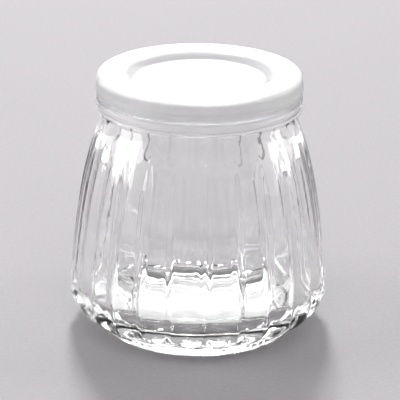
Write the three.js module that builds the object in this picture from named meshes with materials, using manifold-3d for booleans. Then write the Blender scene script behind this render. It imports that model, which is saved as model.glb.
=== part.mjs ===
// Small pudding jar: a heavy clear glass jar with 24 upright ribs, closed by a thin plastic press-on lid.
// Millimetres, +Z up. The origin is the middle of the circle that the jar stands on.

import * as THREE from 'three';
import { mergeVertices } from 'three/addons/utils/BufferGeometryUtils.js';
import Module from 'manifold-3d';

// Ribs: broad rounded bars side by side, with a narrow groove between each two
const RIBS = 24;
const POINTS_PER_RIB = 6;
const RIB_CROWN = 0.4;           // how far the middle of a rib stands out over its edges
const SHOULDER_CROWN = 0.8;      // the same at the widest place, where the ribs are rounder
const SHOULDER_CROWN_Z = 20;     // here the ribs begin to grow rounder downward
const GROOVE_DEPTH = 0.3;
const GROOVE_START = 0.62;       // a groove begins at this share of the way from a rib's middle to its edge
const GROOVE_EDGE = 0.2;         // share of the groove over which its edge is rounded
const RIB_FADE_Z = 47;           // above this the ribs grow flat
const GROOVE_FADE_Z = 44;        // above this the grooves grow shallow and narrow
const GROOVE_TIP_Z = 54;         // here ribs and grooves have died out
const GROOVE_END_ANGLE = 62;     // degrees round the lower shoulder where the ribs begin to run out

// Body, measured over the crests of the ribs
const WIDEST_RADIUS = 33.45;
const WIDEST_Z = 10.8;
const SHOULDER_WIDTH = 7.2;      // the lower shoulder is a quarter of an ellipse
const SHOULDER_HEIGHT = 7.3;
const WALL_LEAN = 0.105;         // the wall leans in by this share of its height
const LEAN_START = 2;
const TUCK = 4.6;                // and tucks in by this much more on its way to the neck
const NECK_ROOT_Z = 58;

// Foot: a low ring with a row of small beads round it
const FOOT_RADIUS = 24.8;
const FOOT_HEIGHT = 1.9;
const FOOT_WAIST_Z = 2.7;        // above this the wall swings out to the shoulder
const FOOT_EDGE = 0.4;
const BEADS = 72;
const BEAD_HEIGHT = 0.35;
const BEAD_LOW = 0.35;           // the beads run between these shares of the foot's height
const BEAD_HIGH = 0.8;
const BEARING_WIDTH = 2.6;
const PUSH_UP = 1.8;             // how far the underside is domed up

// Neck and the bead that the lid is pressed over
const NECK_RADIUS = 24.2;
const NECK_BEAD_RADIUS = 24.9;
const NECK_BEAD_Z = 62.6;
const NECK_BEAD_HALF_HEIGHT = 1.1;
const RIM_Z = 66.5;
const RIM_ROUND = 0.9;

// Inside of the jar
const MOUTH_RADIUS = 21.4;
const WALL_THICKNESS = 3.1;      // from the crest of a rib to the smooth inside
const FLOOR_Z = 6;
const FLOOR_CORNER_WIDTH = 10;   // the floor rises to the wall in a quarter of an ellipse
const FLOOR_CORNER_HEIGHT = 7.4;
const INSIDE_WAIST_Z = 50;       // above this the inside draws in to the mouth,
const INSIDE_BEND_Z = 57;        // most of all here,
const INSIDE_NECK_Z = 59.5;      // and is straight from here up

// Lid
const LID_BOTTOM_Z = 59.2;
const LID_TOP_Z = 68;
const LID_RADIUS = 26.2;
const LID_THICKNESS = 0.8;
const LID_EDGE_ROUND = 1.3;
const LID_HEM_RADIUS = 26.45;
const LID_HEM_HEIGHT = 0.9;
const SKIRT_BAND = 0.2;          // a soft raised band runs round the skirt
const SKIRT_BAND_Z = 64.3;
const SKIRT_BAND_HALF_HEIGHT = 0.9;
const RECESS_RADIUS = 18.7;
const RECESS_FLOOR_RADIUS = 17.1;
const RECESS_DEPTH = 1.9;
const RECESS_FILLET = 0.6;
const RECESS_TURN = 50;          // degrees that its upper and lower fillets turn through
const INNER_BEND = 0.6;          // share of the thickness that the bends inside the lid stand off by

// Fineness of the round surfaces
const SMOOTH_SIDES = 48;
const LID_SIDES = 72;
const ARC_STEPS = 4;
const SHOULDER_STEPS = 6;
const WALL_STEPS = 3;
const FADE_STEPS = 4;
const INSIDE_STEPS = 4;
const BEND_STEPS = 3;
const FILLET_STEPS = 2;
const UNDERSIDE_SHARES = [0.45, 0.8, 1];

const GLASS_COLOUR = 0xeef3f1;
const LID_COLOUR = 0xf3f3f5;

const wasm = await Module();
wasm.setup();

const quarterTurn = Math.PI / 2;

/** Radius over the rib crests at a height between the widest place and the neck. */
function crestRadius(z) {
  const rise = z - WIDEST_Z;
  const lean = WALL_LEAN * (Math.hypot(rise, LEAN_START) - LEAN_START);
  const tuck = TUCK * (rise / (NECK_ROOT_Z - WIDEST_Z)) ** 4;
  return WIDEST_RADIUS - lean - tuck;
}

/** Shape of a groove, 0 beside it and 1 at its bottom, for a place from 0 on the crest to 1 in the groove. */
function grooveShape(across) {
  const inward = Math.max(0, (across - GROOVE_START) / (1 - GROOVE_START));
  const hollow = 1 - (1 - inward) ** 2;
  return hollow * THREE.MathUtils.smoothstep(inward, 0, GROOVE_EDGE);
}

/** How far a rib is rounded off at a height on the wall or the shoulder. */
function crownAt(z) {
  const share = 1 - THREE.MathUtils.smoothstep(z, WIDEST_Z, SHOULDER_CROWN_Z);
  return THREE.MathUtils.lerp(RIB_CROWN, SHOULDER_CROWN, share);
}

/** A ring of the outer surface: radius and height on the crests, the direction outward, and what is on it. */
function ring(radius, z, { outward = [1, 0], crown = 0, groove = 0, cut = 0, bead = 0 } = {}) {
  return { radius, z, outward, crown, groove, cut, bead };
}

function undersideRings() {
  const inner = FOOT_RADIUS - FOOT_EDGE - BEARING_WIDTH;
  const rings = [ring(0, PUSH_UP)];
  for (const share of UNDERSIDE_SHARES) {
    rings.push(ring(inner * share, PUSH_UP * Math.sqrt(1 - share ** 2)));
  }
  return rings;
}

function footRings() {
  return [
    ring(FOOT_RADIUS - FOOT_EDGE, 0),
    ring(FOOT_RADIUS, FOOT_EDGE),
    ring(FOOT_RADIUS, FOOT_HEIGHT * BEAD_LOW, { bead: BEAD_HEIGHT }),
    ring(FOOT_RADIUS, FOOT_HEIGHT * BEAD_HIGH, { bead: BEAD_HEIGHT }),
    ring(FOOT_RADIUS, FOOT_HEIGHT),
    ring(FOOT_RADIUS, FOOT_WAIST_Z),
  ];
}

function shoulderRings() {
  const middle = WIDEST_RADIUS - SHOULDER_WIDTH;
  const fadeStart = THREE.MathUtils.degToRad(GROOVE_END_ANGLE);
  const rings = [];
  for (let step = 0; step <= SHOULDER_STEPS; step += 1) {
    const angle = quarterTurn * (1 - step / SHOULDER_STEPS);
    const left = Math.min(1, (quarterTurn - angle) / (quarterTurn - fadeStart));
    const z = WIDEST_Z - SHOULDER_HEIGHT * Math.sin(angle);
    rings.push(ring(middle + SHOULDER_WIDTH * Math.cos(angle), z, {
      outward: [Math.cos(angle), -Math.sin(angle)],
      crown: left * crownAt(z),
      groove: left,
    }));
  }
  return rings;
}

/** Ring of the wall with its ribs; the cut makes the grooves shallower and so narrower too. */
function wallRing(z, cut) {
  const crown = crownAt(z) * (1 - THREE.MathUtils.smoothstep(z, RIB_FADE_Z, GROOVE_TIP_Z));
  return ring(crestRadius(z), z, { crown, groove: 1, cut });
}

function wallRings() {
  const rings = [];
  for (let step = 1; step <= WALL_STEPS; step += 1) {
    rings.push(wallRing(THREE.MathUtils.lerp(WIDEST_Z, GROOVE_FADE_Z, step / WALL_STEPS), 0));
  }
  for (let step = 1; step <= FADE_STEPS; step += 1) {
    const share = step / FADE_STEPS;
    rings.push(wallRing(THREE.MathUtils.lerp(GROOVE_FADE_Z, GROOVE_TIP_Z, share), share));
  }
  return rings;
}

function neckRings() {
  return [
    ring(crestRadius(NECK_ROOT_Z), NECK_ROOT_Z),
    ring(NECK_RADIUS, NECK_BEAD_Z - 2 * NECK_BEAD_HALF_HEIGHT),
    ring(NECK_RADIUS, NECK_BEAD_Z - NECK_BEAD_HALF_HEIGHT),
    ring(NECK_BEAD_RADIUS, NECK_BEAD_Z),
    ring(NECK_RADIUS, NECK_BEAD_Z + NECK_BEAD_HALF_HEIGHT),
    ring(NECK_RADIUS, RIM_Z - RIM_ROUND),
    ring(NECK_RADIUS - RIM_ROUND, RIM_Z),
    ring(0, RIM_Z),
  ];
}

/** Place of a point of a ring, after the ribs, grooves or beads are worked in. */
function ringPoint(station, index) {
  const count = RIBS * POINTS_PER_RIB;
  const angle = (2 * Math.PI * index) / count;
  const alongRib = (index % POINTS_PER_RIB) / POINTS_PER_RIB;
  const across = Math.abs(2 * alongRib - 1);
  const groove = Math.max(0, station.groove * grooveShape(across) - station.cut);
  const depth = GROOVE_DEPTH * groove + station.crown * across ** 2;
  const raised = index % (count / BEADS) === 0 ? 0 : station.bead;
  const radius = station.radius - depth * station.outward[0] + raised;
  const z = station.z - depth * station.outward[1];
  return [radius * Math.cos(angle), radius * Math.sin(angle), z];
}

/** Closed surface through rings that run from the axis below to the axis above. */
function loft(rings, pointAt, count) {
  const positions = [...pointAt(rings[0], 0)];
  const inner = rings.slice(1, -1);
  for (const station of inner) {
    for (let index = 0; index < count; index += 1) positions.push(...pointAt(station, index));
  }
  positions.push(...pointAt(rings.at(-1), 0));
  const last = inner.length * count + 1;
  const at = (level, index) => 1 + level * count + (index % count);
  const faces = [];
  for (let index = 0; index < count; index += 1) {
    faces.push(0, at(0, index + 1), at(0, index));
    for (let level = 0; level + 1 < inner.length; level += 1) {
      const low = at(level, index);
      const lowNext = at(level, index + 1);
      const high = at(level + 1, index);
      const highNext = at(level + 1, index + 1);
      faces.push(low, lowNext, highNext, low, highNext, high);
    }
    faces.push(at(inner.length - 1, index), at(inner.length - 1, index + 1), last);
  }
  const geometry = new THREE.BufferGeometry();
  geometry.setAttribute('position', new THREE.Float32BufferAttribute(positions, 3));
  geometry.setIndex(faces);
  return geometry;
}

/** Points of an ellipse's arc in the plane of radius and height, both ends included. */
function arc([centreRadius, centreZ], [width, height], [fromDegrees, toDegrees], steps = ARC_STEPS) {
  const points = [];
  for (let step = 0; step <= steps; step += 1) {
    const angle = THREE.MathUtils.degToRad(THREE.MathUtils.lerp(fromDegrees, toDegrees, step / steps));
    const radius = centreRadius + width * Math.cos(angle);
    points.push(new THREE.Vector2(radius, centreZ + height * Math.sin(angle)));
  }
  return points;
}

/** Points of a round fillet, both ends included. */
function fillet(centreRadius, centreZ, size, fromDegrees, toDegrees, steps = ARC_STEPS) {
  return arc([centreRadius, centreZ], [size, size], [fromDegrees, toDegrees], steps);
}

/** A profile turned about the Z axis. */
function turned(profile, sides) {
  const geometry = new THREE.LatheGeometry(profile, sides);
  geometry.rotateX(quarterTurn);
  geometry.deleteAttribute('normal');
  geometry.deleteAttribute('uv');
  return mergeVertices(geometry, 1e-4);
}

/** Smooth inside of the jar, carried on above the rim so that it cuts the mouth open. */
function insideProfile() {
  const insideRadius = (z) => crestRadius(z) - WALL_THICKNESS;
  const cornerTop = FLOOR_Z + FLOOR_CORNER_HEIGHT;
  const cornerCentre = [insideRadius(cornerTop) - FLOOR_CORNER_WIDTH, cornerTop];
  const profile = [new THREE.Vector2(0, FLOOR_Z)];
  profile.push(...arc(cornerCentre, [FLOOR_CORNER_WIDTH, FLOOR_CORNER_HEIGHT], [-90, 0]));
  for (let step = 1; step <= INSIDE_STEPS; step += 1) {
    const z = THREE.MathUtils.lerp(cornerTop, INSIDE_WAIST_Z, step / INSIDE_STEPS);
    profile.push(new THREE.Vector2(insideRadius(z), z));
  }
  const bend = new THREE.QuadraticBezierCurve(
    profile.at(-1),
    new THREE.Vector2(MOUTH_RADIUS, INSIDE_BEND_Z),
    new THREE.Vector2(MOUTH_RADIUS, INSIDE_NECK_Z),
  );
  profile.push(...bend.getPoints(BEND_STEPS).slice(1));
  profile.push(
    new THREE.Vector2(MOUTH_RADIUS, RIM_Z - RIM_ROUND),
    new THREE.Vector2(MOUTH_RADIUS + RIM_ROUND, RIM_Z),
    new THREE.Vector2(MOUTH_RADIUS + RIM_ROUND, RIM_Z + 1),
    new THREE.Vector2(0, RIM_Z + 1),
  );
  return profile;
}

function toManifold(geometry) {
  return new wasm.Manifold(new wasm.Mesh({
    numProp: 3,
    vertProperties: new Float32Array(geometry.attributes.position.array),
    triVerts: new Uint32Array(geometry.index.array),
  }));
}

function toGeometry(solid) {
  const mesh = solid.getMesh();
  const geometry = new THREE.BufferGeometry();
  geometry.setAttribute('position', new THREE.BufferAttribute(mesh.vertProperties, 3));
  geometry.setIndex(new THREE.BufferAttribute(mesh.triVerts, 1));
  geometry.computeVertexNormals();
  return geometry;
}

function jarGeometry() {
  const rings = [...undersideRings(), ...footRings(), ...shoulderRings(), ...wallRings(), ...neckRings()];
  const outside = toManifold(loft(rings, ringPoint, RIBS * POINTS_PER_RIB));
  const inside = toManifold(turned(insideProfile(), SMOOTH_SIDES));
  return toGeometry(outside.subtract(inside));
}

/** Section of the lid: under the panel from the axis, down the inside of the skirt, and back over the top. */
function lidProfile() {
  const wall = LID_THICKNESS;
  const recessZ = LID_TOP_Z - RECESS_DEPTH;
  const innerRadius = LID_RADIUS - wall;
  const bend = wall * INNER_BEND;
  const innerRound = LID_EDGE_ROUND - bend;
  return [
    new THREE.Vector2(0, recessZ - wall),
    new THREE.Vector2(RECESS_FLOOR_RADIUS + bend, recessZ - wall),
    new THREE.Vector2(RECESS_RADIUS + bend, LID_TOP_Z - wall),
    ...fillet(innerRadius - innerRound, LID_TOP_Z - wall - innerRound, innerRound, 90, 0),
    new THREE.Vector2(innerRadius, LID_BOTTOM_Z),
    new THREE.Vector2(LID_HEM_RADIUS, LID_BOTTOM_Z),
    new THREE.Vector2(LID_HEM_RADIUS, LID_BOTTOM_Z + LID_HEM_HEIGHT),
    new THREE.Vector2(LID_RADIUS, LID_BOTTOM_Z + LID_HEM_HEIGHT),
    new THREE.Vector2(LID_RADIUS, SKIRT_BAND_Z - SKIRT_BAND_HALF_HEIGHT),
    new THREE.Vector2(LID_RADIUS + SKIRT_BAND, SKIRT_BAND_Z),
    new THREE.Vector2(LID_RADIUS, SKIRT_BAND_Z + SKIRT_BAND_HALF_HEIGHT),
    ...fillet(LID_RADIUS - LID_EDGE_ROUND, LID_TOP_Z - LID_EDGE_ROUND, LID_EDGE_ROUND, 0, 90),
    ...fillet(
      RECESS_RADIUS + RECESS_FILLET, LID_TOP_Z - RECESS_FILLET, RECESS_FILLET, 90, 90 + RECESS_TURN,
      FILLET_STEPS,
    ),
    ...fillet(
      RECESS_FLOOR_RADIUS - RECESS_FILLET, recessZ + RECESS_FILLET, RECESS_FILLET, RECESS_TURN - 90, -90,
      FILLET_STEPS,
    ),
    new THREE.Vector2(0, recessZ),
  ];
}

function named(name, geometry, material) {
  const mesh = new THREE.Mesh(geometry, material);
  mesh.name = name;
  return mesh;
}

const glass = new THREE.MeshStandardMaterial({
  color: GLASS_COLOUR,
  roughness: 0.03,
  metalness: 0,
  transparent: true,
  opacity: 0.35,
});
const plastic = new THREE.MeshStandardMaterial({ color: LID_COLOUR, roughness: 0.42, metalness: 0 });

const pudding_jar = new THREE.Group();
pudding_jar.add(named('glass_jar', jarGeometry(), glass));
pudding_jar.add(named('plastic_lid', turned(lidProfile(), LID_SIDES), plastic));

export default pudding_jar;
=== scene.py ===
"""Small pudding jar of clear ribbed glass with a milky plastic press-on lid, empty, on a pale surface."""

import math

import bpy
import numpy as np
from mathutils import Matrix, Vector


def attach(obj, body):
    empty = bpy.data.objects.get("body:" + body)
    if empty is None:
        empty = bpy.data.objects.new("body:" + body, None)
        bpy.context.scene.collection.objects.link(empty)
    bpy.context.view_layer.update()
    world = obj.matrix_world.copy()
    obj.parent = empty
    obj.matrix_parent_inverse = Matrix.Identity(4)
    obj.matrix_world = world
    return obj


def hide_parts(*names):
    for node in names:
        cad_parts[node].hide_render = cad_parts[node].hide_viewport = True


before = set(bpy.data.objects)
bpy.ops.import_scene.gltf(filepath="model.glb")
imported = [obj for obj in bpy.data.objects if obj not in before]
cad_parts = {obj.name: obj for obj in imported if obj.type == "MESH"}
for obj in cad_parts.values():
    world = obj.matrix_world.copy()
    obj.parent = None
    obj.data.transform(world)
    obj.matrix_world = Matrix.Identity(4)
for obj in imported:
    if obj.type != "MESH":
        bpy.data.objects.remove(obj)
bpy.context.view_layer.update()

MM = 0.001

# Broad ribs and the narrow rounded grooves between them, in millimetres
RIBS = 24
RIB_CROWN = 0.4
SHOULDER_CROWN = 0.8
SHOULDER_CROWN_Z = 20.0
GROOVE_DEPTH = 0.3
GROOVE_START = 0.62
GROOVE_EDGE = 0.2
RIB_FADE_Z = 47.0
GROOVE_FADE_Z = 44.0
GROOVE_TIP_Z = 54.0
GROOVE_END_ANGLE = 62.0

# Body over the crests of the ribs
WIDEST_RADIUS = 33.45
WIDEST_Z = 10.8
SHOULDER_WIDTH = 7.2
SHOULDER_HEIGHT = 7.3
WALL_LEAN = 0.105
LEAN_START = 2.0
TUCK = 4.6
NECK_ROOT_Z = 58.0

# Foot ring with its row of beads
FOOT_RADIUS = 24.8
FOOT_HEIGHT = 1.9
FOOT_EDGE = 0.4
BEADS = 72
BEAD_HEIGHT = 0.35
BEARING_WIDTH = 2.6
PUSH_UP = 1.8

# Neck
NECK_RADIUS = 24.2
NECK_BEAD_RADIUS = 24.9
NECK_BEAD_Z = 62.6
NECK_BEAD_HALF_HEIGHT = 1.1
RIM_Z = 66.5
RIM_ROUND = 0.9

# Smooth inside
MOUTH_RADIUS = 21.4
WALL_THICKNESS = 3.1
FLOOR_Z = 6.0
FLOOR_CORNER_WIDTH = 10.0
FLOOR_CORNER_HEIGHT = 7.4
INSIDE_WAIST_Z = 50.0

# Lid
LID_BOTTOM_Z = 59.2
LID_TOP_Z = 68.0
LID_RADIUS = 26.2
LID_THICKNESS = 0.8
LID_EDGE_ROUND = 1.3
LID_HEM_RADIUS = 26.45
LID_HEM_HEIGHT = 0.9
RECESS_RADIUS = 18.7
RECESS_FLOOR_RADIUS = 17.1
RECESS_DEPTH = 1.9
RECESS_FILLET = 0.6
RECESS_TURN = 50
SKIRT_BAND = 0.2
SKIRT_BAND_Z = 64.3
SKIRT_BAND_HALF_HEIGHT = 0.9
SKIRT_LINE = 0.12
SKIRT_LINE_Z = 61.7
SKIRT_LINE_HALF_HEIGHT = 0.6

# The lid is satin, and clearer towards the hem of its skirt
LID_ROUGHNESS = 0.42
HEM_ROUGHNESS = 0.1
HEM_CLEAR_Z = 60.5

# Brightness of the studio round the jar: low down at the sides and the back, overhead, and in front
STUDIO_WHITE = 1.8
STUDIO_HIGH = 0.15
STUDIO_FRONT = 0.05

# Fineness of the meshes
POINTS_PER_RIB = 24
LID_SIDES = 288

# Camera, read from the outlines in the photograph: focal length in pixels of a 400 pixel frame
FRAME_PIXELS = 400
FOCAL_PIXELS = 2320.2
CAMERA_DISTANCE = 0.600
CAMERA_ELEVATION = 20.39
CAMERA_AZIMUTH = -3.6
CAMERA_ROLL = 0.655
AIM_SIDE = 0.0004
AIM_HEIGHT = 0.0332
SENSOR_WIDTH = 36.0


def crest_radius(z):
    """Radius over the rib crests at a height between the widest place and the neck."""
    rise = z - WIDEST_Z
    lean = WALL_LEAN * (math.hypot(rise, LEAN_START) - LEAN_START)
    tuck = TUCK * (rise / (NECK_ROOT_Z - WIDEST_Z)) ** 4
    return WIDEST_RADIUS - lean - tuck


def inside_radius(z):
    return crest_radius(z) - WALL_THICKNESS


def smooth(share):
    """Soft step from 0 to 1."""
    share = np.clip(share, 0.0, 1.0)
    return share**2 * (3 - 2 * share)


def groove_shape(across):
    """Shape of a groove, 0 beside it and 1 at its bottom; across goes from 0 on the crest to 1 in the groove."""
    inward = np.clip((across - GROOVE_START) / (1 - GROOVE_START), 0.0, 1.0)
    hollow = 1 - (1 - inward) ** 2
    return hollow * smooth(inward / GROOVE_EDGE)


def arc(centre, size, start, end, steps):
    """Points of an ellipse's arc in the plane of radius and height; angles in degrees, start left out."""
    points = []
    for step in range(1, steps + 1):
        angle = math.radians(start + (end - start) * step / steps)
        points.append((centre[0] + size[0] * math.cos(angle), centre[1] + size[1] * math.sin(angle)))
    return points


def line(start, end, steps):
    """Points of a straight run, start left out."""
    return [tuple(a + (b - a) * step / steps for a, b in zip(start, end)) for step in range(1, steps + 1)]


def bend(start, corner, end, steps):
    """A smooth bend from start to end that is drawn towards the corner, start left out."""
    points = []
    for step in range(1, steps + 1):
        t = step / steps
        points.append(tuple(
            (1 - t) ** 2 * a + 2 * t * (1 - t) * b + t**2 * c for a, b, c in zip(start, corner, end)
        ))
    return points


def heights(function, low, high, steps):
    """Points of a wall whose radius is a function of height, low end left out."""
    points = []
    for step in range(1, steps + 1):
        z = low + (high - low) * step / steps
        points.append((function(z), z))
    return points


def swell(radius, z, half_height, out, steps=10):
    """A soft bulge of an upright wall, both ends included."""
    points = []
    for step in range(steps + 1):
        share = step / steps
        points.append((radius + out * math.sin(math.pi * share) ** 2, z + half_height * (2 * share - 1)))
    return points


class Profile:
    """Points from the axis round the section and back to the axis, each with what is worked into it."""

    def __init__(self, first):
        self.points = [first]
        self.marks = [{}]

    def add(self, points, mark=None):
        for point in points:
            self.points.append(point)
            self.marks.append(mark(point) if mark else {})

    @property
    def last(self):
        return self.points[-1]

    def column(self, key):
        return np.array([mark.get(key, 0.0) for mark in self.marks])

    def normals(self):
        points = np.array(self.points)
        along = np.gradient(points, axis=0)
        along /= np.linalg.norm(along, axis=1)[:, None] + 1e-12
        return np.stack([along[:, 1], -along[:, 0]], axis=1)


def crown(z):
    """How far a rib is rounded off across its width, more so low down on the shoulder."""
    share = float(smooth((SHOULDER_CROWN_Z - z) / (SHOULDER_CROWN_Z - WIDEST_Z)))
    return RIB_CROWN + (SHOULDER_CROWN - RIB_CROWN) * share


def shoulder_mark(point):
    """The grooves run round the lower shoulder and die out under it."""
    sine = min(1.0, (WIDEST_Z - point[1]) / SHOULDER_HEIGHT)
    angle = math.degrees(math.asin(sine))
    left = min(1.0, (90 - angle) / (90 - GROOVE_END_ANGLE))
    return {"crown": left * crown(point[1]), "groove": left}


def wall_mark(point):
    """Ribs grow flat and grooves grow shallow and narrow on their way up to the neck."""
    left = 1 - float(smooth((point[1] - RIB_FADE_Z) / (GROOVE_TIP_Z - RIB_FADE_Z)))
    share = min(max((point[1] - GROOVE_FADE_Z) / (GROOVE_TIP_Z - GROOVE_FADE_Z), 0.0), 1.0)
    return {"crown": left * crown(point[1]), "groove": 1.0, "cut": share}


def bead_mark(point):
    """The beads are round in height too."""
    low, high = 0.25 * FOOT_HEIGHT, 0.92 * FOOT_HEIGHT
    share = (point[1] - low) / (high - low)
    if not 0 < share < 1:
        return {}
    return {"bead": BEAD_HEIGHT * math.sin(math.pi * share) ** 0.5}


def jar_profile():
    foot_inner = FOOT_RADIUS - FOOT_EDGE - BEARING_WIDTH
    profile = Profile((0.0, PUSH_UP))
    profile.add(arc((0, 0), (foot_inner - 0.3, PUSH_UP), 90, 6, 14))
    profile.add(bend(profile.last, (foot_inner - 0.1, 0.0), (foot_inner + 0.3, 0.0), 3))
    profile.add(line(profile.last, (FOOT_RADIUS - FOOT_EDGE, 0.0), 2))
    profile.add(arc((FOOT_RADIUS - FOOT_EDGE, FOOT_EDGE), (FOOT_EDGE, FOOT_EDGE), -90, 0, 4))
    profile.add(line(profile.last, (FOOT_RADIUS, FOOT_HEIGHT), 9), bead_mark)
    middle = WIDEST_RADIUS - SHOULDER_WIDTH
    under = (middle, WIDEST_Z - SHOULDER_HEIGHT)
    profile.add(bend(profile.last, (FOOT_RADIUS, under[1]), under, 6))
    profile.add(arc((middle, WIDEST_Z), (SHOULDER_WIDTH, SHOULDER_HEIGHT), -90, 0, 26), shoulder_mark)
    profile.add(heights(crest_radius, WIDEST_Z, GROOVE_FADE_Z, 20), wall_mark)
    profile.add(heights(crest_radius, GROOVE_FADE_Z, GROOVE_TIP_Z, 18), wall_mark)
    profile.add(heights(crest_radius, GROOVE_TIP_Z, NECK_ROOT_Z - 1, 4))
    profile.add(bend(profile.last, (NECK_RADIUS, NECK_ROOT_Z), (NECK_RADIUS, NECK_ROOT_Z + 1.6), 5))
    profile.add(swell(NECK_RADIUS, NECK_BEAD_Z, NECK_BEAD_HALF_HEIGHT, NECK_BEAD_RADIUS - NECK_RADIUS))
    profile.add(line(profile.last, (NECK_RADIUS, RIM_Z - RIM_ROUND), 2))
    profile.add(arc((NECK_RADIUS - RIM_ROUND, RIM_Z - RIM_ROUND), (RIM_ROUND, RIM_ROUND), 0, 90, 5))
    profile.add(arc((MOUTH_RADIUS + RIM_ROUND, RIM_Z - RIM_ROUND), (RIM_ROUND, RIM_ROUND), 90, 180, 5))
    profile.add(line(profile.last, (MOUTH_RADIUS, NECK_ROOT_Z + 1.5), 3))
    waist = (inside_radius(INSIDE_WAIST_Z), INSIDE_WAIST_Z)
    profile.add(bend(profile.last, (MOUTH_RADIUS + 0.2, NECK_ROOT_Z - 3), waist, 8))
    corner_top = FLOOR_Z + FLOOR_CORNER_HEIGHT
    profile.add(heights(inside_radius, INSIDE_WAIST_Z, corner_top, 10))
    corner = (profile.last[0] - FLOOR_CORNER_WIDTH, corner_top)
    profile.add(arc(corner, (FLOOR_CORNER_WIDTH, FLOOR_CORNER_HEIGHT), 0, -90, 14))
    profile.add(line(profile.last, (0.0, FLOOR_Z), 4))
    return profile


def lid_profile():
    wall = LID_THICKNESS
    recess_z = LID_TOP_Z - RECESS_DEPTH
    inner = LID_RADIUS - wall
    turn = wall * 0.6
    round_inside = LID_EDGE_ROUND - turn
    edge_inside = inner - round_inside, LID_TOP_Z - wall - round_inside
    edge = LID_RADIUS - LID_EDGE_ROUND, LID_TOP_Z - LID_EDGE_ROUND
    profile = Profile((0.0, recess_z - wall))
    profile.add(line(profile.last, (RECESS_FLOOR_RADIUS + turn - 0.4, recess_z - wall), 4))
    profile.add(bend(profile.last, (RECESS_FLOOR_RADIUS + turn, recess_z - wall),
                     (RECESS_FLOOR_RADIUS + turn + 0.3, recess_z - wall + 0.3), 4))
    profile.add(line(profile.last, (RECESS_RADIUS + turn - 0.3, LID_TOP_Z - wall - 0.3), 3))
    profile.add(bend(profile.last, (RECESS_RADIUS + turn, LID_TOP_Z - wall),
                     (RECESS_RADIUS + turn + 0.4, LID_TOP_Z - wall), 4))
    profile.add(line(profile.last, (inner - round_inside, LID_TOP_Z - wall), 3))
    profile.add(arc(edge_inside, (round_inside,) * 2, 90, 0, 5))
    profile.add(line(profile.last, (inner, LID_BOTTOM_Z + 0.1), 6))
    profile.add(bend(profile.last, (inner, LID_BOTTOM_Z), (inner + 0.1, LID_BOTTOM_Z), 2))
    profile.add(line(profile.last, (LID_HEM_RADIUS - 0.15, LID_BOTTOM_Z), 2))
    profile.add(bend(profile.last, (LID_HEM_RADIUS, LID_BOTTOM_Z), (LID_HEM_RADIUS, LID_BOTTOM_Z + 0.15), 3))
    hem_top = LID_BOTTOM_Z + LID_HEM_HEIGHT
    profile.add(line(profile.last, (LID_HEM_RADIUS, hem_top - 0.12), 2))
    profile.add(bend(profile.last, (LID_HEM_RADIUS, hem_top), (LID_HEM_RADIUS - 0.12, hem_top), 3))
    profile.add(bend(profile.last, (LID_RADIUS, hem_top), (LID_RADIUS, hem_top + 0.2), 3))
    profile.add(swell(LID_RADIUS, SKIRT_LINE_Z, SKIRT_LINE_HALF_HEIGHT, SKIRT_LINE))
    profile.add(swell(LID_RADIUS, SKIRT_BAND_Z, SKIRT_BAND_HALF_HEIGHT, SKIRT_BAND))
    profile.add(line(profile.last, (LID_RADIUS, LID_TOP_Z - LID_EDGE_ROUND), 3))
    profile.add(arc(edge, (LID_EDGE_ROUND,) * 2, 0, 90, 10))
    profile.add(line(profile.last, (RECESS_RADIUS + RECESS_FILLET, LID_TOP_Z), 4))
    lip = RECESS_RADIUS + RECESS_FILLET, LID_TOP_Z - RECESS_FILLET
    profile.add(arc(lip, (RECESS_FILLET,) * 2, 90, 90 + RECESS_TURN, 5))
    base = RECESS_FLOOR_RADIUS - RECESS_FILLET, recess_z + RECESS_FILLET
    rise = math.radians(90 - RECESS_TURN)
    start = base[0] + RECESS_FILLET * math.cos(rise), base[1] - RECESS_FILLET * math.sin(rise)
    profile.add(line(profile.last, start, 4))
    profile.add(arc(base, (RECESS_FILLET,) * 2, RECESS_TURN - 90, -90, 5))
    profile.add(line(profile.last, (0.0, recess_z), 6))
    return profile


def turned_mesh(name, profile, sides):
    """Closed smooth mesh of a profile turned about the Z axis, with its grooves and beads worked in."""
    points = np.array(profile.points)
    normals = profile.normals()
    index = np.arange(sides)
    angle = 2 * math.pi * index / sides
    along_rib = (index * RIBS / sides) % 1.0
    across = np.abs(2 * along_rib - 1)
    groove = profile.column("groove")[:, None] * groove_shape(across)[None] - profile.column("cut")[:, None]
    depth = GROOVE_DEPTH * np.maximum(0.0, groove) + profile.column("crown")[:, None] * across**2
    bead_wave = np.abs(np.sin(math.pi * BEADS * index / sides))
    raised = profile.column("bead")[:, None] * (1 - (1 - bead_wave) ** 3)[None]
    radius = points[:, :1] - depth * normals[:, :1] + raised
    z = points[:, 1:] - depth * normals[:, 1:]
    rings = np.stack([radius * np.cos(angle), radius * np.sin(angle), z + 0 * radius], axis=2)[1:-1]
    vertices = [(0, 0, points[0, 1])] + rings.reshape(-1, 3).tolist() + [(0, 0, points[-1, 1])]
    last = len(vertices) - 1
    faces = []
    count = len(rings)
    for i in range(sides):
        j = (i + 1) % sides
        faces.append((0, 1 + j, 1 + i))
        faces.append((1 + (count - 1) * sides + i, 1 + (count - 1) * sides + j, last))
        for level in range(count - 1):
            low, high = 1 + level * sides, 1 + (level + 1) * sides
            faces.append((low + i, low + j, high + j, high + i))
    mesh = bpy.data.meshes.new(name)
    mesh.from_pydata([(x * MM, y * MM, h * MM) for x, y, h in vertices], [], faces)
    mesh.shade_smooth()
    mesh.validate()
    piece = bpy.data.objects.new(name, mesh)
    bpy.context.scene.collection.objects.link(piece)
    return piece


def new_material(name):
    material = bpy.data.materials.new(name)
    material.use_nodes = True
    nodes = material.node_tree.nodes
    shader = next(node for node in nodes if node.type == "BSDF_PRINCIPLED")
    return material, nodes, material.node_tree.links, shader


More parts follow.
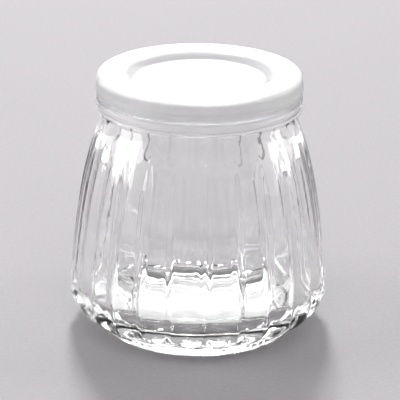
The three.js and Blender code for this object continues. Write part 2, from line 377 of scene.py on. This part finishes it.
def add_noise(nodes, links, scale, detail, roughness=0.5):
    place = nodes.new("ShaderNodeTexCoord")
    noise = nodes.new("ShaderNodeTexNoise")
    noise.inputs["Scale"].default_value = scale
    noise.inputs["Detail"].default_value = detail
    noise.inputs["Roughness"].default_value = roughness
    links.new(place.outputs["Object"], noise.inputs["Vector"])
    return noise


def add_bump(nodes, links, height, distance, strength, below=None):
    bump = nodes.new("ShaderNodeBump")
    bump.inputs["Distance"].default_value = distance
    bump.inputs["Strength"].default_value = strength
    links.new(height, bump.inputs["Height"])
    if below is not None:
        links.new(below.outputs["Normal"], bump.inputs["Normal"])
    return bump


def add_step(nodes, links, value, span, results):
    """A soft step of a value over a span, from one result to the other."""
    step = nodes.new("ShaderNodeMapRange")
    step.interpolation_type = "SMOOTHSTEP"
    step.inputs["From Min"].default_value, step.inputs["From Max"].default_value = span
    step.inputs["To Min"].default_value, step.inputs["To Max"].default_value = results
    links.new(value, step.inputs["Value"])
    return step


def glass_material():
    """Clear soda-lime glass, fire polished, with the faint waves of a pressed jar."""
    material, nodes, links, shader = new_material("clear_glass")
    shader.inputs["Base Color"].default_value = (0.996, 1.0, 0.998, 1)
    shader.inputs["Transmission Weight"].default_value = 1.0
    shader.inputs["IOR"].default_value = 1.52
    shader.inputs["Roughness"].default_value = 0.0
    waves = add_noise(nodes, links, 120, 3)
    bump = add_bump(nodes, links, waves.outputs["Fac"], 0.0002, 0.4)
    links.new(bump.outputs["Normal"], shader.inputs["Normal"])
    return material


def lid_material():
    """Milky polyethylene, satin from the mould, that lets some light through."""
    material, nodes, links, shader = new_material("milky_plastic")
    shader.inputs["Base Color"].default_value = (0.995, 0.995, 1.0, 1)
    shader.inputs["Transmission Weight"].default_value = 0.85
    shader.inputs["Subsurface Weight"].default_value = 1.0
    shader.inputs["Subsurface Radius"].default_value = (1.0, 1.0, 1.0)
    shader.inputs["Subsurface Scale"].default_value = 0.006
    shader.inputs["IOR"].default_value = 1.5
    place = nodes.new("ShaderNodeTexCoord")
    axes = nodes.new("ShaderNodeSeparateXYZ")
    links.new(place.outputs["Object"], axes.inputs["Vector"])
    span = HEM_CLEAR_Z * MM, SKIRT_BAND_Z * MM
    satin = add_step(nodes, links, axes.outputs["Z"], span, (HEM_ROUGHNESS, LID_ROUGHNESS))
    links.new(satin.outputs["Result"], shader.inputs["Roughness"])
    grain = add_noise(nodes, links, 1400, 3)
    bump = add_bump(nodes, links, grain.outputs["Fac"], 0.0001, 0.3)
    links.new(bump.outputs["Normal"], shader.inputs["Normal"])
    return material


def floor_material():
    """Pale warm-grey board with a fine grain, and a painted pool of light under the foot: whiter there in place
    of the light that the jar would gather.
    """
    material, nodes, links, shader = new_material("pale_board")
    grain = add_noise(nodes, links, 900, 4, 0.7)
    colour = nodes.new("ShaderNodeValToRGB")
    colour.color_ramp.elements[0].color = (0.262, 0.249, 0.261, 1)
    colour.color_ramp.elements[1].color = (0.358, 0.342, 0.357, 1)
    links.new(grain.outputs["Fac"], colour.inputs["Fac"])
    place = nodes.new("ShaderNodeTexCoord")
    reach = nodes.new("ShaderNodeVectorMath")
    reach.operation = "LENGTH"
    links.new(place.outputs["Object"], reach.inputs[0])
    # Painted light: inside the foot's radius the board's colour is mixed to near white, a painted pool of light
    # under the jar
    foot = FOOT_RADIUS * MM
    under = add_step(nodes, links, reach.outputs["Value"], (0.94 * foot, 0.99 * foot), (1.0, 0.0))
    painted_light = nodes.new("ShaderNodeMixRGB")
    painted_light.inputs["Color2"].default_value = (0.98, 0.98, 0.98, 1)
    links.new(under.outputs["Result"], painted_light.inputs["Fac"])
    links.new(colour.outputs["Color"], painted_light.inputs["Color1"])
    links.new(painted_light.outputs["Color"], shader.inputs["Base Color"])
    shader.inputs["Roughness"].default_value = 0.75
    bump = add_bump(nodes, links, grain.outputs["Fac"], 0.0003, 0.3)
    links.new(bump.outputs["Normal"], shader.inputs["Normal"])
    return material


def make_floor():
    mesh = bpy.data.meshes.new("board")
    half = 1.6
    corners = [(-half, -half, 0), (half, -half, 0), (half, half, 0), (-half, half, 0)]
    mesh.from_pydata(corners, [], [(0, 1, 2, 3)])
    board = bpy.data.objects.new("board", mesh)
    bpy.context.scene.collection.objects.link(board)
    board.data.materials.append(floor_material())


def add_softbox(name, place, target, width, height, watts, colour=(1, 1, 1)):
    light = bpy.data.lights.new(name, "AREA")
    light.shape = "RECTANGLE"
    light.size = width
    light.size_y = height
    light.energy = watts
    light.color = colour
    lamp = bpy.data.objects.new(name, light)
    lamp.location = place
    lamp.rotation_mode = "QUATERNION"
    lamp.rotation_quaternion = (Vector(target) - Vector(place)).to_track_quat("-Z", "Y")
    bpy.context.scene.collection.objects.link(lamp)
    return lamp


def make_world():
    """White studio walls, darker overhead and towards the side where the camera stands."""
    world = bpy.data.worlds.new("studio")
    world.use_nodes = True
    nodes = world.node_tree.nodes
    links = world.node_tree.links
    background = nodes["Background"]
    place = nodes.new("ShaderNodeTexCoord")
    axes = nodes.new("ShaderNodeSeparateXYZ")
    links.new(place.outputs["Generated"], axes.inputs["Vector"])
    walls = add_step(nodes, links, axes.outputs["Z"], (0.35, 0.65), (STUDIO_WHITE, STUDIO_HIGH))
    front = add_step(nodes, links, axes.outputs["Y"], (-0.55, -0.05), (STUDIO_FRONT, STUDIO_WHITE))
    links.new(walls.outputs["Result"], front.inputs["To Max"])
    links.new(front.outputs["Result"], background.inputs["Strength"])
    background.inputs["Color"].default_value = (1.0, 0.99, 1.0, 1)
    bpy.context.scene.world = world


def from_centre(azimuth, elevation, distance):
    """A place round the jar: azimuth 0 in front and 90 on the right, in degrees; distance in metres."""
    azimuth, elevation = math.radians(azimuth), math.radians(elevation)
    flat = distance * math.cos(elevation)
    height = AIM_HEIGHT + distance * math.sin(elevation)
    return Vector((flat * math.sin(azimuth), -flat * math.cos(azimuth), height))


def make_lights():
    aim = (0, 0, AIM_HEIGHT)
    add_softbox("key", from_centre(180, 48, 1.4), aim, 0.2, 0.2, 17.0)
    add_softbox("softbox_back", from_centre(180, 24, 1.4), aim, 1.18, 0.44, 4.5)
    add_softbox("softbox_front", from_centre(0, 58, 0.9), aim, 0.6, 0.6, 3.4)
    add_softbox("softbox_left", from_centre(-90, 20, 0.9), aim, 0.5, 0.6, 4.6)
    add_softbox("softbox_right", from_centre(95, 20, 0.9), aim, 0.25, 0.6, 2.4)


def make_camera():
    elevation = math.radians(CAMERA_ELEVATION)
    azimuth = math.radians(CAMERA_AZIMUTH)
    roll = math.radians(CAMERA_ROLL)
    side = Vector((math.cos(azimuth), math.sin(azimuth), 0))
    back = Vector((math.sin(azimuth) * math.cos(elevation), -math.cos(azimuth) * math.cos(elevation),
                   math.sin(elevation)))
    up = back.cross(side)
    right = side * math.cos(roll) + up * math.sin(roll)
    top = up * math.cos(roll) - side * math.sin(roll)
    aim = side * AIM_SIDE + Vector((0, 0, AIM_HEIGHT))
    data = bpy.data.cameras.new("camera")
    data.sensor_width = SENSOR_WIDTH
    data.lens = SENSOR_WIDTH * FOCAL_PIXELS / FRAME_PIXELS
    data.clip_start = 0.01
    camera = bpy.data.objects.new("camera", data)
    turn = Matrix((right, top, back)).transposed().to_4x4()
    camera.matrix_world = Matrix.Translation(aim + back * CAMERA_DISTANCE) @ turn
    bpy.context.scene.collection.objects.link(camera)
    bpy.context.scene.camera = camera


def set_light_paths():
    """Glass seen through glass needs long paths."""
    scene = bpy.context.scene
    scene.view_settings.view_transform = "Standard"
    scene.cycles.max_bounces = 24
    scene.cycles.transmission_bounces = 20
    scene.cycles.glossy_bounces = 8
    scene.cycles.diffuse_bounces = 6
    scene.cycles.caustics_refractive = True
    scene.cycles.caustics_reflective = True
    scene.cycles.sample_clamp_indirect = 0.0


make_camera()
make_floor()
make_world()
make_lights()
set_light_paths()

jar = turned_mesh("ribbed_jar", jar_profile(), RIBS * POINTS_PER_RIB)
jar.data.materials.append(glass_material())
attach(jar, "root")
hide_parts("glass_jar")

lid = turned_mesh("press_on_lid", lid_profile(), LID_SIDES)
lid.data.materials.append(lid_material())
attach(lid, "root")
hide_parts("plastic_lid")
